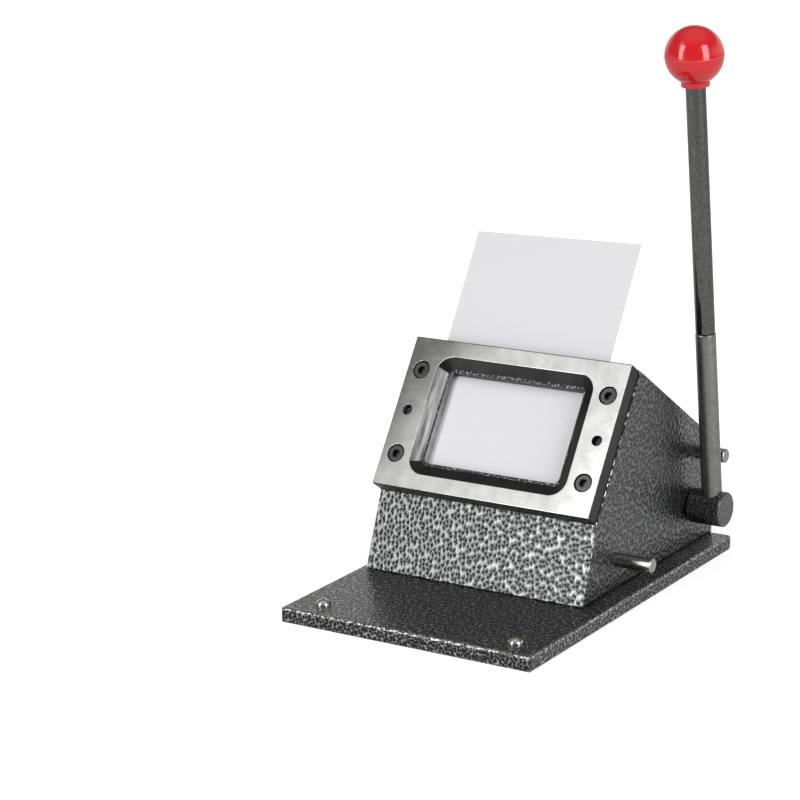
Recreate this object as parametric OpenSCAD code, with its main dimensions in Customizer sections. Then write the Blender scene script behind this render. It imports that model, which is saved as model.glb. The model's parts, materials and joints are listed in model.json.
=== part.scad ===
// Bench lever cutter for plastic ID cards, in millimetres.
// X runs to the right, Y to the back and Z up. The origin is the middle of the base plate's underside.
//
// The press line leans: the die plate, the sheet slot, the guide plate and the ram all stand square
// to it. Their pieces are drawn upright in the press frame, where Y is the depth behind the die
// plate's front face and Z climbs the face from its lower edge, and press_frame() leans them back.
// The card sets the widths: the die, the punch, the ram and the housing are built round it.

/* [Card and sheet] */
// Width of a card
card_w = 85.6; // [80:0.1:104]
// Height of a card
card_h = 54; // [45:0.1:66]
// Corner radius of a card
card_r = 3.18; // [1:0.01:5]
// Thickness of the sheet
sheet_t = 0.76; // [0.3:0.01:0.9]
// How far the sheet reaches past the card on each side
sheet_side = 9.2; // [5:0.1:10]
// Height of the sheet
sheet_h = 148; // [110:1:210]
// Tilt of the sheet in its slot, in degrees
sheet_tilt = 1.2; // [0:0.1:1.4]
// How far left of the middle the sheet's foot stands
sheet_left = 0.6; // [0:0.1:1]
// Width of the slot that the sheet stands in
slot_gap = 1; // [0.95:0.05:1.5]
// How far the slot reaches past the card on each side
slot_side = 12.2; // [12:0.1:12.6]
// Height of the bar that the sheet stands on
slot_bar = 10.5; // [8:0.5:14]

/* [Base plate] */
// How far the base stands out in front of the housing
apron = 76; // [60:1:95]
// How far the base stands out to the left of the housing
base_left = 4.5; // [2:0.5:15]
// How far the base stands out to the right of the housing, under the lever
base_right = 12.5; // [4:0.5:30]
// Thickness of the base plate
base_t = 8.5; // [7:0.5:12]
// Bevel on the base plate's edges
base_bevel = 0.8; // [0.4:0.1:1.5]
// Distance of the front screws from the base's front edge
front_screw_in = 15; // [10:1:25]
// Distance of the front screws from the base's side edges
front_screw_side = 17.5; // [10:0.5:30]

/* [Housing] */
// Depth of the housing at its foot, front to back
house_d = 152; // [125:1:156]
// Clear space inside the housing beside the card, on each side
house_room = 10.2; // [9.8:0.1:14]
// Thickness of each side wall
wall_t = 16; // [13:0.5:20]
// Thickness of the front wall, measured level
front_t = 10; // [8:0.5:12]
// How far the front wall's top lies behind the slot
front_head = 1.5; // [0.5:0.1:3]
// Thickness of the sloping roof plate
roof_t = 8; // [6:0.5:9.5]
// Thickness of the rear cover
cover_t = 3; // [2:0.5:4]

/* [Die plate] */
// Lean of the die plate, back from upright, in degrees
lean = 34; // [32:0.5:36]
// Distance of the die plate's lower front edge behind the housing's foot
die_in = 7.5; // [6:0.5:9]
// Height of that edge above the base's underside
die_up = 56.4; // [53:0.2:60]
// How far the die plate's side edges lie inside the housing's sides
die_side = 0.3; // [0:0.1:1]
// Height of the rim above and below the card window
die_rim = 17.25; // [16.5:0.25:20]
// Thickness of the die plate
die_t = 9; // [7.5:0.5:12]
// How far the funnel's mouth reaches past the card on each side
funnel_side = 7.2; // [6.6:0.1:9]
// How far the funnel's mouth reaches past the card above and below
funnel_end = 8; // [6.6:0.1:10]
// Corner radius of the funnel's mouth
funnel_r = 10; // [8:0.5:12]
// How much the funnel narrows on each side
funnel_in = 6.5; // [4:0.5:6.5]
// Depth of the funnel
funnel_deep = 4; // [2:0.5:6]

/* [Punch and ram] */
// Thickness of the guide plate behind the sheet
guide_t = 12; // [10:0.5:15]
// How far the guide plate reaches into each side wall
guide_nest = 2.5; // [1.5:0.1:2.6]
// Length of the punch
punch_len = 26; // [24:0.5:30]
// Room between the ram plate and the side walls
ram_side = 1.2; // [0.8:0.1:1.5]
// Room between the ram plate and the roof
ram_end = 0.75; // [0.5:0.05:1]
// Thickness of the ram plate
ram_t = 12; // [9:0.5:14]
// Diameter of each guide post
post_d = 8; // [6:0.5:8]
// Length of each guide post
post_len = 40; // [36:1:44]
// How deep each guide post sits in the guide plate
post_in = 10; // [8:0.5:10]
// How far the posts stand outside the card's sides
post_side = 2.7; // [2.6:0.1:3]
// How far the posts stand outside the card's upper and lower edges
post_end = 3.5; // [3.4:0.1:3.7]
// Outer diameter of each return spring
spring_d = 10.6; // [9:0.1:10.6]
// Thickness of the fork's foot
fork_foot = 8; // [6:0.5:10]
// Width of the fork's foot
fork_w = 60; // [56:1:70]
// Height of the fork's foot
fork_h = 44; // [42:1:50]
// Thickness of each fork cheek
fork_cheek = 10; // [8:0.5:10]
// Height of each cheek where it leaves the foot
cheek_h = 36; // [24:1:42]
// Diameter of the cam roller
roller_d = 16; // [14:0.5:18]
// Width of the cam roller and of the cam
roller_w = 12; // [10:0.5:14]
// Diameter of the roller's pin
roller_pin_d = 8; // [6:0.5:9]

/* [Shaft and cam] */
// Distance of the shaft from the base's rear edge
shaft_in = 24; // [22:0.5:30]
// Height of the shaft above the base's underside
shaft_up = 31.5; // [31:0.5:34]
// Diameter of the shaft
shaft_d = 14; // [12:0.5:17]
// Wall of the shaft's bushes
bush_wall = 2; // [1.5:0.5:3]
// Wall of the cam's hub
hub_wall = 5; // [4:0.5:5]
// Length of the hub beside the cam
hub_len = 16; // [12:0.5:20]
// How far the cam would push the roller in a whole turn
cam_lead = 26; // [22:0.5:27]

/* [Lever] */
// Forward lean of the lever at rest, in degrees
lever_lean = 5.6; // [4:0.1:8]
// Turn of the lever from stop to stop, in degrees
lever_travel = 83; // [78:1:84]
// Wall of the boss that holds the lever on the shaft
boss_wall = 3; // [2.5:0.5:5]
// Length of the boss
boss_len = 20.5; // [19:0.5:24]
// Distance from the boss's inner end to the lever's middle
lever_in = 12; // [11:0.5:12.5]
// Diameter of the lever's lower part
stub_d = 11.5; // [10:0.5:13]
// Distance from the shaft to the joint in the lever
joint_up = 104.5; // [80:0.5:125]
// Diameter of the lever's upper part
rod_d = 11; // [9:0.5:13]
// Distance from the shaft to the middle of the ball
ball_up = 260.5; // [220:0.5:315]
// Diameter of the ball
ball_d = 32; // [28:1:38]
// Diameter of the ball's collar
collar_d = 15.6; // [14:0.1:17]

/* [Stop pins] */
// Diameter of the stop pins
stop_d = 8; // [6:0.5:9]
// Distance from the shaft to the rear pin, along the lever
rear_stop_up = 28.5; // [26:0.5:32]
// How far the rear pin stands out of the wall
rear_stop_out = 17.5; // [16:0.5:20]
// Distance from the shaft to the front pin, along the lowered lever
front_stop_up = 86; // [78:0.5:88]
// How far the front pin stands out of the wall
front_stop_out = 20.3; // [18:0.1:24]
// How deep both pins sit in the wall
stop_in = 12.5; // [10:0.5:12.5]

/* [Fasteners] */
// Shank diameter of the die plate's screws
die_screw_d = 6; // [5:0.5:6]
// Length of the die plate's screws
die_screw_len = 16; // [14:1:20]
// Distance of the die plate's screws from the walls' inner faces
die_screw_out = 6.5; // [6.2:0.1:8]
// How far the die plate's screws lie inside the card's upper and lower edges
die_screw_end = 2; // [0:0.5:8]
// Diameter of the dowel pins
dowel_d = 6; // [5:0.5:6]
// Distance of the dowel pins from the walls' inner faces
dowel_out = 7.6; // [6.5:0.1:8]
// How far one dowel stands above the middle and the other below it
dowel_skew = 0.8; // [0:0.1:2]
// How deep the dowels lie below the die plate's face
dowel_sunk = 3; // [2:0.5:4]
// How deep the dowels reach into the walls
dowel_in = 10; // [8:1:14]
// Shank diameter of the screws that hold the walls to the base
base_screw_d = 6; // [5:0.5:6]
// Length of those screws
base_screw_len = 20; // [18:0.5:21]
// Length of the screws that hold the rear cover
cover_screw_len = 12; // [10:1:16]

/* [Clearances] */
// Gap around a piece that is pressed or screwed in
press_gap = 0.01; // [0.01:0.01:0.02]
// Gap around a piece that turns or slides in a bore
run_gap = 0.04; // [0.02:0.01:0.08]
// Gap between the punch, its guide and the die, on each side
die_gap = 0.05; // [0.03:0.01:0.08]
// Gap between moving faces that don't fit together
free_gap = 0.5; // [0.3:0.1:0.5]
// Gap left between the lever and a stop, and between cam and roller
touch_gap = 0.1; // [0.05:0.01:0.15]

/* [Hidden] */
$fn = 64;
eps = 0.5;

// Colours of the finishes
paint = "#85888b";
ground_steel = "#c9c9c7";
tool_steel = "#9a9b9d";
black_steel = "#2c2c2e";
bright_steel = "#d2d2d0";
bronze = "#b08a4a";
plastic_red = "#d42b30";
plastic_white = "#f1f1f1";

// Housing and base
inner_w = card_w + 2 * house_room;
house_w = inner_w + 2 * wall_t;
base_w = house_w + base_left + base_right;
base_d = apron + house_d;
house_x = (base_left - base_right) / 2;
wall_x = (house_w - wall_t) / 2;
right_face = house_x + house_w / 2;
left_face = house_x - house_w / 2;
base_front = -base_d / 2;
foot_y = base_front + apron;
house_back = base_d / 2;
walls_back = house_back - cover_t;

// Press frame
die_w = house_w - 2 * die_side;
die_h = card_h + 2 * die_rim;
die_y = foot_y + die_in;
mid_v = die_h / 2;
walls_front = die_t + slot_gap;
guide_back = walls_front + guide_t;
roof_v = die_h - roof_t;
punch_face = walls_front + touch_gap;
ram_front = punch_face + punch_len;
ram_back = ram_front + ram_t;
fork_back = ram_back + fork_foot;

// Window, slot and sheet
funnel_w = card_w + 2 * funnel_side;
funnel_h = card_h + 2 * funnel_end;
slot_w = card_w + 2 * slot_side;
sheet_w = card_w + 2 * sheet_side;
sheet_slack = (slot_gap - sheet_t) / 2;

// Ram
ram_w = inner_w - 2 * ram_side;
ram_h = die_h - 2 * roof_t - 2 * ram_end;
fork_gap = roller_w + 2 * free_gap;

// Shaft, seen from the world and from the press frame
shaft_y = house_back - shaft_in;
shaft_depth = (shaft_y - die_y) * cos(lean) - (shaft_up - die_up) * sin(lean);
shaft_v = (shaft_y - die_y) * sin(lean) + (shaft_up - die_up) * cos(lean);
shaft_r = shaft_d / 2;
bush_d = shaft_d + 2 * bush_wall;
hub_d = shaft_d + 2 * hub_wall;

// Cam: the roller starts clear of the hub by cheek_gap, and moves out at a steady rate
cheek_gap = 2;
cam_start = (hub_d + roller_d) / 2 + cheek_gap;
roller_depth = shaft_depth - cam_start;
lead_rate = cam_lead / 360;
lead_slope = cam_lead / (2 * PI);
cam_pin_d = 4;
cam_pin_x = house_x + (roller_w + hub_len) / 2;

// Far end of the shaft: washer, ring and the groove that holds the ring
washer_t = 1;
washer_rim = 2;
ring_t = 1;
ring_rim = 2.5;
ring_slit = 3;
end_gap = 0.1;
groove_deep = 0.7;
shaft_end = 1.3;
washer_x = left_face - end_gap - washer_t;
ring_x = washer_x - end_gap - ring_t;
shaft_left = ring_x - shaft_end;

// Lever
boss_d = shaft_d + 2 * boss_wall;
boss_x = right_face + free_gap;
boss_floor = 3;
shaft_right = boss_x + boss_len - boss_floor;
lever_x = boss_x + lever_in;
stub_foot = shaft_r + free_gap;
spigot_d = 8;
spigot_len = 12;
tenon_d = 6;
tenon_len = 14;
knob_stud_d = 8;
knob_stud_len = 15;
collar_drop = 16.6;
collar_h = 3.4;
rod_top = ball_up - collar_drop;
stop_reach = (stub_d + stop_d) / 2 + touch_gap;

// Screws. A socket head is as tall as its shank is wide
hole_room = 0.2;
head_rim = 2;
die_screw_x = inner_w / 2 + die_screw_out;
die_screw_v = card_h / 2 - die_screw_end;
die_head_d = die_screw_d + 2 * head_rim;
die_cb_d = die_head_d + 3 * hole_room;
die_cb_deep = die_screw_d + 2 * hole_room;
dowel_x = inner_w / 2 + dowel_out;
front_screw_x = base_w / 2 - front_screw_side;
front_screw_d = 4;
front_head_d = 8.3;
front_head_h = 2.9;
nest_screw_d = 4;
nest_screw_len = guide_t + 8;
nest_screw_x = 35;
// The foremost base screw stays in front of the front stop pin
stop_turn = lever_lean + lever_travel;
front_stop_y = shaft_y - stop_reach * cos(stop_turn) - front_stop_up * sin(stop_turn);
stop_room = 3;
front_base_screw_y = min(foot_y + 14, front_stop_y - (stop_d + base_screw_d) / 2 - stop_room);
base_screw_y = [front_base_screw_y, (foot_y + house_back) / 2 - 2, house_back - 13];
cover_screw_z = [base_t + 18.5, slope_z(walls_back) - 11.7];
cover_screw_d = 4;
punch_screw_d = 6;
punch_screw_at = [30, 16];
punch_cb_d = punch_screw_d + 2 * head_rim + 3 * hole_room;
punch_cb_deep = punch_screw_d + hole_room;
punch_screw_in = 10;
fork_screw_d = 5;
fork_screw_at = [22, 15];
fork_screw_tip = ram_front + 4;
hole_end = 1;

// A point of the press frame as [y, z] in the world
function in_press(depth, v) = [
    die_y + depth * cos(lean) + v * sin(lean),
    die_up - depth * sin(lean) + v * cos(lean)];

// Height of the housing's slope at a given y
function slope_z(y) = let (top = in_press(0, die_h)) top[1] - (y - top[0]) * tan(lean);

// Outline of the cam: the path of the roller's middle, moved in by the roller's radius
function cam_point(turn) = let (
    a = 180 - lean - turn,
    rho = cam_start + lead_rate * turn,
    tx = lead_slope * cos(a) + rho * sin(a),
    ty = lead_slope * sin(a) - rho * cos(a),
    len = sqrt(tx * tx + ty * ty),
    off = roller_d / 2 + touch_gap)
    [rho * cos(a) + off * ty / len, rho * sin(a) - off * tx / len];

module press_frame() {
    translate([house_x, die_y, die_up]) rotate([-lean, 0, 0]) children();
}

module lever_frame() {
    translate([lever_x, shaft_y, shaft_up]) rotate([lever_lean, 0, 0]) children();
}

// A plate with a [y, z] outline, standing square to X
module across(outline, width) {
    rotate([90, 0, 90]) linear_extrude(width, center = true) polygon(outline);
}

module along_x(d, x0, x1) {
    translate([x0, 0, 0]) rotate([0, 90, 0]) cylinder(d = d, h = x1 - x0);
}

// In the press frame: a cylinder that runs back from depth y0 to depth y1
module deep(d, y0, y1) {
    translate([0, y0, 0]) rotate([-90, 0, 0]) cylinder(d = d, h = y1 - y0);
}

// In the press frame: a card-shaped block, larger by grow on each side
module card_block(grow, y0, y1) {
    w = card_w + 2 * grow;
    h = card_h + 2 * grow;
    r = card_r + grow;
    translate([0, y1, mid_v]) rotate([90, 0, 0]) linear_extrude(y1 - y0) {
        square([w - 2 * r, h], center = true);
        square([w, h - 2 * r], center = true);
        for (x = [-1, 1], z = [-1, 1]) translate([x * (w / 2 - r), z * (h / 2 - r)]) circle(r);
    }
}

// A box with bevelled edges, standing on z = 0
module bevelled_box(size, bevel) {
    x = size[0] / 2;
    y = size[1] / 2;
    intersection() {
        linear_extrude(size[2]) polygon([
            [-x + bevel, -y], [x - bevel, -y], [x, -y + bevel], [x, y - bevel],
            [x - bevel, y], [-x + bevel, y], [-x, y - bevel], [-x, -y + bevel]]);
        across([[-y + bevel, 0], [y - bevel, 0], [y, bevel], [y, size[2] - bevel],
            [y - bevel, size[2]], [-y + bevel, size[2]], [-y, size[2] - bevel], [-y, bevel]],
            size[0]);
        rotate([90, 0, 0]) linear_extrude(size[1], center = true) polygon([
            [-x + bevel, 0], [x - bevel, 0], [x, bevel], [x, size[2] - bevel],
            [x - bevel, size[2]], [-x + bevel, size[2]], [-x, size[2] - bevel], [-x, bevel]]);
    }
}

// A rod that stands on z = 0 with both ends bevelled
module bevelled_rod(d, len, bevel) {
    cylinder(d1 = d - 2 * bevel, d2 = d, h = bevel);
    translate([0, 0, bevel]) cylinder(d = d, h = len - 2 * bevel);
    translate([0, 0, len - bevel]) cylinder(d1 = d, d2 = d - 2 * bevel, h = bevel);
}

// A socket-head screw: head below z = 0, shank above it
module socket_screw(d, len, head_d, head_h, key) {
    bevel = 0.5;
    difference() {
        union() {
            cylinder(d = d, h = len);
            translate([0, 0, -head_h + bevel]) cylinder(d = head_d, h = head_h - bevel);
            translate([0, 0, -head_h]) cylinder(d1 = head_d - 2 * bevel, d2 = head_d, h = bevel);
        }
        translate([0, 0, -head_h - eps]) cylinder(d = key, h = head_h / 2 + eps, $fn = 6);
    }
}

// A countersunk screw: its face at z = 0, shank above it
module flat_screw(d, len, key) {
    difference() {
        union() {
            cylinder(d1 = 2 * d, d2 = d, h = d / 2);
            cylinder(d = d, h = len);
        }
        translate([0, 0, -eps]) cylinder(d = key, h = d / 3 + eps, $fn = 6);
    }
}

module flat_hole(d, deep) {
    wide = d + 2 * press_gap;
    translate([0, 0, -eps]) cylinder(d = wide, h = deep + eps);
    translate([0, 0, -eps]) cylinder(d1 = wide + d + 2 * eps, d2 = wide, h = d / 2 + eps);
}

// Places of the fasteners
module at_front_screws() {
    for (x = [-1, 1])
        translate([x * front_screw_x, base_front + front_screw_in, base_t]) children();
}

module at_base_screws() {
    for (x = [-1, 1], y = base_screw_y)
        translate([house_x + x * wall_x, y, 0]) children();
}

module at_cover_screws() {
    for (x = [-1, 1], z = cover_screw_z)
        translate([house_x + x * wall_x, house_back, z]) rotate([90, 0, 0]) children();
}

module at_die_screws() {
    for (x = [-1, 1], z = [-1, 1])
        translate([x * die_screw_x, 0, mid_v + z * die_screw_v]) children();
}

module at_dowels() {
    for (x = [-1, 1]) translate([x * dowel_x, 0, mid_v - x * dowel_skew]) children();
}

module at_posts() {
    for (x = [-1, 1], z = [-1, 1])
        translate([x * (card_w / 2 + post_side), 0, mid_v + z * (card_h / 2 + post_end)])
            children();
}

module at_nest_screws() {
    for (x = [-1, 1]) translate([x * nest_screw_x, 0, die_h - roof_t / 2]) children();
}

// Four places round the middle of the ram
module at_ram(place) {
    for (x = [-1, 1], z = [-1, 1]) translate([x * place[0], 0, mid_v + z * place[1]]) children();
}

// The stop pins' axes: each lies just clear of the lever, side says on which side of it
module at_rear_stop() {
    translate([0, shaft_y, shaft_up]) rotate([lever_lean, 0, 0])
        translate([0, stop_reach, rear_stop_up]) children();
}

module at_front_stop() {
    translate([0, shaft_y, shaft_up]) rotate([lever_lean + lever_travel, 0, 0])
        translate([0, -stop_reach, front_stop_up]) children();
}

module stop_pin(out) {
    translate([right_face - stop_in, 0, 0]) rotate([0, 90, 0])
        bevelled_rod(stop_d, stop_in + out, 0.5);
}

module stop_hole() {
    along_x(stop_d + 2 * press_gap, right_face - stop_in, right_face + eps);
}

// Base

module base_plate() {
    color(paint) difference() {
        bevelled_box([base_w, base_d, base_t], base_bevel);
        at_front_screws() translate([0, 0, -base_t - eps])
            cylinder(d = front_screw_d + 2 * press_gap, h = base_t + 2 * eps);
        at_base_screws() flat_hole(base_screw_d, base_t + eps);
    }
}

module front_screws() {
    dome_r = 6.4;
    cross = [4.6, 0.9];
    cross_floor = 1.6;
    color(bright_steel) at_front_screws() {
        difference() {
            intersection() {
                translate([0, 0, front_head_h - dome_r]) sphere(dome_r);
                cylinder(d = front_head_d, h = front_head_h);
            }
            for (a = [20, 110]) rotate([0, 0, a])
                translate([-cross[0] / 2, -cross[1] / 2, cross_floor])
                    cube([cross[0], cross[1], front_head_h]);
        }
        translate([0, 0, -base_t + eps]) cylinder(d = front_screw_d, h = base_t);
    }
}

module base_screws() {
    color(black_steel) at_base_screws() flat_screw(base_screw_d, base_screw_len, 4);
}

// Housing

// Side outline of the walls, from the foot of the front wall round to the back
function wall_outline() = [
    [foot_y, base_t], in_press(walls_front + front_head, 0), in_press(walls_front, 0),
    in_press(walls_front, die_h), [walls_back, slope_z(walls_back)], [walls_back, base_t]];

module side_wall(side) {
    difference() {
        translate([house_x + side * wall_x, 0, 0]) across(wall_outline(), wall_t);
        translate([0, shaft_y, shaft_up])
            along_x(bush_d + 2 * press_gap, left_face - eps, right_face + eps);
        press_frame() {
            // Nest for the guide plate
            translate([-inner_w / 2 - guide_nest, walls_front - eps, 0])
                cube([inner_w + 2 * guide_nest, guide_t + eps, 2 * die_h]);
            at_die_screws() deep(die_screw_d + 2 * press_gap, walls_front - eps,
                die_cb_deep + die_screw_len + hole_end);
            at_dowels() deep(dowel_d + 2 * press_gap, walls_front - eps,
                walls_front + dowel_in + hole_end);
        }
        at_base_screws() cylinder(d = base_screw_d + 2 * press_gap, h = base_screw_len + hole_end);
        at_cover_screws() cylinder(d = cover_screw_d + 2 * press_gap, h = cover_screw_len + hole_end);
    }
}

module left_wall() {
    color(paint) side_wall(-1);
}

module right_wall() {
    color(paint) difference() {
        side_wall(1);
        at_rear_stop() stop_hole();
        at_front_stop() stop_hole();
    }
}

module front_wall() {
    color(paint) translate([house_x, 0, 0]) across([
        [foot_y, base_t], in_press(walls_front + front_head, 0), in_press(guide_back, 0),
        [foot_y + front_t, base_t]], inner_w);
}

module roof_plate() {
    color(paint) difference() {
        translate([house_x, 0, 0]) across([
            in_press(guide_back, die_h), [walls_back, slope_z(walls_back)],
            [walls_back, slope_z(walls_back) - roof_t / cos(lean)], in_press(guide_back, roof_v)],
            inner_w);
        press_frame() at_nest_screws()
            deep(nest_screw_d + 2 * press_gap, guide_back - eps,
                walls_front + nest_screw_len + hole_end);
    }
}

module rear_cover() {
    color(paint) difference() {
        translate([house_x, 0, 0]) across([
            [walls_back, base_t], [walls_back, slope_z(walls_back)],
            [house_back, slope_z(house_back)], [house_back, base_t]], house_w);
        at_cover_screws() translate([0, 0, -eps])
            cylinder(d = cover_screw_d + 2 * press_gap, h = cover_t + 2 * eps);
    }
}

module cover_screws() {
    color(black_steel) at_cover_screws() socket_screw(cover_screw_d, cover_screw_len, 7.6, 2.2, 2.5);
}

// Die plate and slot

// The window's funnel: cones in the corners joined by two wedge-sided blocks
module funnel() {
    slope = funnel_in / funnel_deep;
    over = eps * slope;
    w = funnel_w / 2 + over;
    h = funnel_h / 2 + over;
    cx = funnel_w / 2 - funnel_r;
    cz = funnel_h / 2 - funnel_r;
    fall = funnel_in + over;
    translate([0, -eps, mid_v]) {
        for (x = [-1, 1], z = [-1, 1]) translate([x * cx, 0, z * cz]) rotate([-90, 0, 0])
            cylinder(r1 = funnel_r + over, r2 = funnel_r - funnel_in, h = funnel_deep + eps);
        linear_extrude(2 * cz, center = true) polygon([
            [-w, 0], [w, 0], [w - fall, funnel_deep + eps], [-w + fall, funnel_deep + eps]]);
        across([[0, -h], [0, h], [funnel_deep + eps, h - fall], [funnel_deep + eps, -h + fall]],
            2 * cx);
    }
}

module die_plate() {
    color(ground_steel) press_frame() difference() {
        translate([0, die_t / 2, 0]) bevelled_box([die_w, die_t, die_h], 0.5);
        funnel();
        card_block(0, funnel_deep - eps, die_t + eps);
        at_die_screws() {
            deep(die_cb_d, -eps, die_cb_deep);
            deep(die_screw_d + 2 * hole_room, 0, die_t + eps);
        }
        at_dowels() deep(dowel_d + 2 * press_gap, -eps, die_t + eps);
    }
}

module die_plate_screws() {
    color(black_steel) press_frame() at_die_screws() translate([0, die_cb_deep, 0])
        rotate([-90, 0, 0]) socket_screw(die_screw_d, die_screw_len, die_head_d, die_screw_d, 5);
}

module dowel_pins() {
    color(tool_steel) press_frame() at_dowels()
        translate([0, dowel_sunk, 0]) rotate([-90, 0, 0])
            bevelled_rod(dowel_d, walls_front + dowel_in - dowel_sunk, 0.5);
}

// A U-shaped shim: its bar carries the sheet and its legs set the slot's width
module slot_shim() {
    color(tool_steel) press_frame() difference() {
        translate([-die_w / 2, die_t, 0]) cube([die_w, slot_gap, die_h]);
        translate([-slot_w / 2, die_t - eps, slot_bar]) cube([slot_w, slot_gap + 2 * eps, die_h]);
        at_die_screws() deep(die_screw_d + 2 * hole_room, die_t - eps, walls_front + eps);
        at_dowels() deep(dowel_d + 2 * press_gap, die_t - eps, walls_front + eps);
    }
}

// The sheet stands on its lower left corner. The card is already parted from it along the die's
// edge, so that the punch can carry the card forward.
module pvc_sheet() {
    color(plastic_white) press_frame() difference() {
        translate([-sheet_left - sheet_w / 2, die_t + sheet_slack, slot_bar + touch_gap])
            rotate([0, -sheet_tilt, 0]) cube([sheet_w, sheet_t, sheet_h]);
        card_block(0, die_t - eps, walls_front + eps);
    }
}

module card_blank() {
    color(plastic_white) press_frame()
        card_block(-die_gap, die_t + sheet_slack, die_t + sheet_slack + sheet_t);
}

// Guide plate, posts and springs

module guide_plate() {
    w = inner_w + 2 * (guide_nest - press_gap);
    color(tool_steel) press_frame() difference() {
        translate([-w / 2, walls_front, 0]) cube([w, guide_t, die_h]);
        card_block(0, walls_front - eps, guide_back + eps);
        at_posts() deep(post_d + 2 * press_gap, guide_back - post_in, guide_back + eps);
        at_nest_screws() translate([0, walls_front, 0]) rotate([-90, 0, 0])
            flat_hole(nest_screw_d, guide_t + eps);
    }
}

module guide_plate_screws() {
    color(black_steel) press_frame() at_nest_screws() translate([0, walls_front, 0])
        rotate([-90, 0, 0]) flat_screw(nest_screw_d, nest_screw_len, 2.5);
}

module guide_posts() {
    color(bright_steel) press_frame() at_posts() translate([0, guide_back - post_in, 0])
        rotate([-90, 0, 0]) bevelled_rod(post_d, post_len, 0.5);
}

// Each spring fills its own sleeve of space between the guide plate and the ram plate
module return_springs() {
    color(bright_steel) press_frame() at_posts() difference() {
        deep(spring_d, guide_back, ram_front - touch_gap);
        deep(post_d + 3 * hole_room, guide_back - eps, ram_front);
    }
}

// Ram

module punch() {
    color(tool_steel) press_frame() difference() {
        card_block(-die_gap, punch_face, ram_front);
        at_ram(punch_screw_at) deep(punch_screw_d + 2 * press_gap,
            ram_front - punch_screw_in - hole_end, ram_front + eps);
    }
}

module ram_plate() {
    color(tool_steel) press_frame() difference() {
        translate([-ram_w / 2, ram_front, mid_v - ram_h / 2]) cube([ram_w, ram_t, ram_h]);
        at_posts() deep(post_d + 2 * run_gap, ram_front - eps, ram_back + eps);
        at_ram(punch_screw_at) {
            deep(punch_screw_d + 2 * press_gap, ram_front - eps, ram_back);
            deep(punch_cb_d, ram_back - punch_cb_deep, ram_back + eps);
        }
        at_ram(fork_screw_at) deep(fork_screw_d + 2 * press_gap,
            fork_screw_tip - hole_end, ram_back + eps);
    }
}

module punch_screws() {
    seat = ram_back - punch_cb_deep;
    color(black_steel) press_frame() at_ram(punch_screw_at) translate([0, seat, 0])
        rotate([90, 0, 0]) socket_screw(punch_screw_d, seat - ram_front + punch_screw_in,
            punch_screw_d + 2 * head_rim, punch_screw_d, 5);
}

module ram_fork() {
    color(tool_steel) press_frame() difference() {
        union() {
            translate([-fork_w / 2, ram_back, mid_v - fork_h / 2]) cube([fork_w, fork_foot, fork_h]);
            for (x = [-1, 1]) translate([x * (fork_gap + fork_cheek) / 2, 0, 0]) {
                across([[fork_back - eps, mid_v - cheek_h / 2],
                    [roller_depth, shaft_v - roller_d / 2], [roller_depth, shaft_v + roller_d / 2],
                    [fork_back - eps, mid_v + cheek_h / 2]], fork_cheek);
                translate([0, roller_depth, shaft_v])
                    along_x(roller_d, -fork_cheek / 2, fork_cheek / 2);
            }
        }
        translate([0, roller_depth, shaft_v])
            along_x(roller_pin_d + 2 * press_gap, -fork_w, fork_w);
        at_ram(fork_screw_at) deep(fork_screw_d + 2 * press_gap, ram_back - eps, fork_back + eps);
    }
}

module fork_screws() {
    color(black_steel) press_frame() at_ram(fork_screw_at) translate([0, fork_back, 0])
        rotate([90, 0, 0]) socket_screw(fork_screw_d, fork_back - fork_screw_tip,
            fork_screw_d + 1.8 * head_rim, fork_screw_d, 4);
}

module roller_pin() {
    half = fork_gap / 2 + fork_cheek;
    color(bright_steel) press_frame() translate([-half, roller_depth, shaft_v])
        rotate([0, 90, 0]) bevelled_rod(roller_pin_d, 2 * half, 0.5);
}

module cam_roller() {
    color(bright_steel) press_frame() translate([0, roller_depth, shaft_v]) difference() {
        along_x(roller_d, -roller_w / 2, roller_w / 2);
        along_x(roller_pin_d + 2 * run_gap, -roller_w, roller_w);
    }
}

// Cam and shaft

module cam() {
    spare = 12;
    step = 3;
    color(tool_steel) difference() {
        translate([house_x, shaft_y, shaft_up]) {
            across(concat([[0, 0]],
                [for (t = [-spare:step:lever_travel + spare]) cam_point(t)]), roller_w);
            along_x(hub_d, -roller_w / 2, roller_w / 2 + hub_len);
        }
        translate([house_x, shaft_y, shaft_up])
            along_x(shaft_d + 2 * press_gap, -roller_w, roller_w + hub_len);
        cam_pin_hole();
    }
}

module cam_pin_hole() {
    translate([cam_pin_x, shaft_y, shaft_up]) rotate([lever_lean, 0, 0])
        cylinder(d = cam_pin_d + 2 * press_gap, h = 2 * hub_d, center = true);
}

module cam_pin() {
    len = hub_d - 2;
    color(bright_steel) translate([cam_pin_x, shaft_y, shaft_up]) rotate([lever_lean, 0, 0])
        translate([0, 0, -len / 2]) bevelled_rod(cam_pin_d, len, 0.4);
}

module main_shaft() {
    color(bright_steel) difference() {
        translate([shaft_left, shaft_y, shaft_up]) rotate([0, 90, 0])
            bevelled_rod(shaft_d, shaft_right - shaft_left, 0.5);
        // Groove for the retaining ring
        translate([0, shaft_y, shaft_up]) difference() {
            along_x(shaft_d + 2, ring_x - end_gap / 2, ring_x + ring_t + end_gap / 2);
            along_x(shaft_d - 2 * groove_deep, ring_x - 1, ring_x + ring_t + 1);
        }
        lever_frame() translate([0, 0, -boss_d])
            cylinder(d = spigot_d + 2 * press_gap, h = 2 * boss_d);
        cam_pin_hole();
    }
}

module bush(side) {
    color(bronze) translate([house_x + side * wall_x, shaft_y, shaft_up]) difference() {
        along_x(bush_d, -wall_t / 2, wall_t / 2);
        along_x(shaft_d + 2 * run_gap, -wall_t, wall_t);
    }
}

module left_bush() {
    bush(-1);
}

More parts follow.
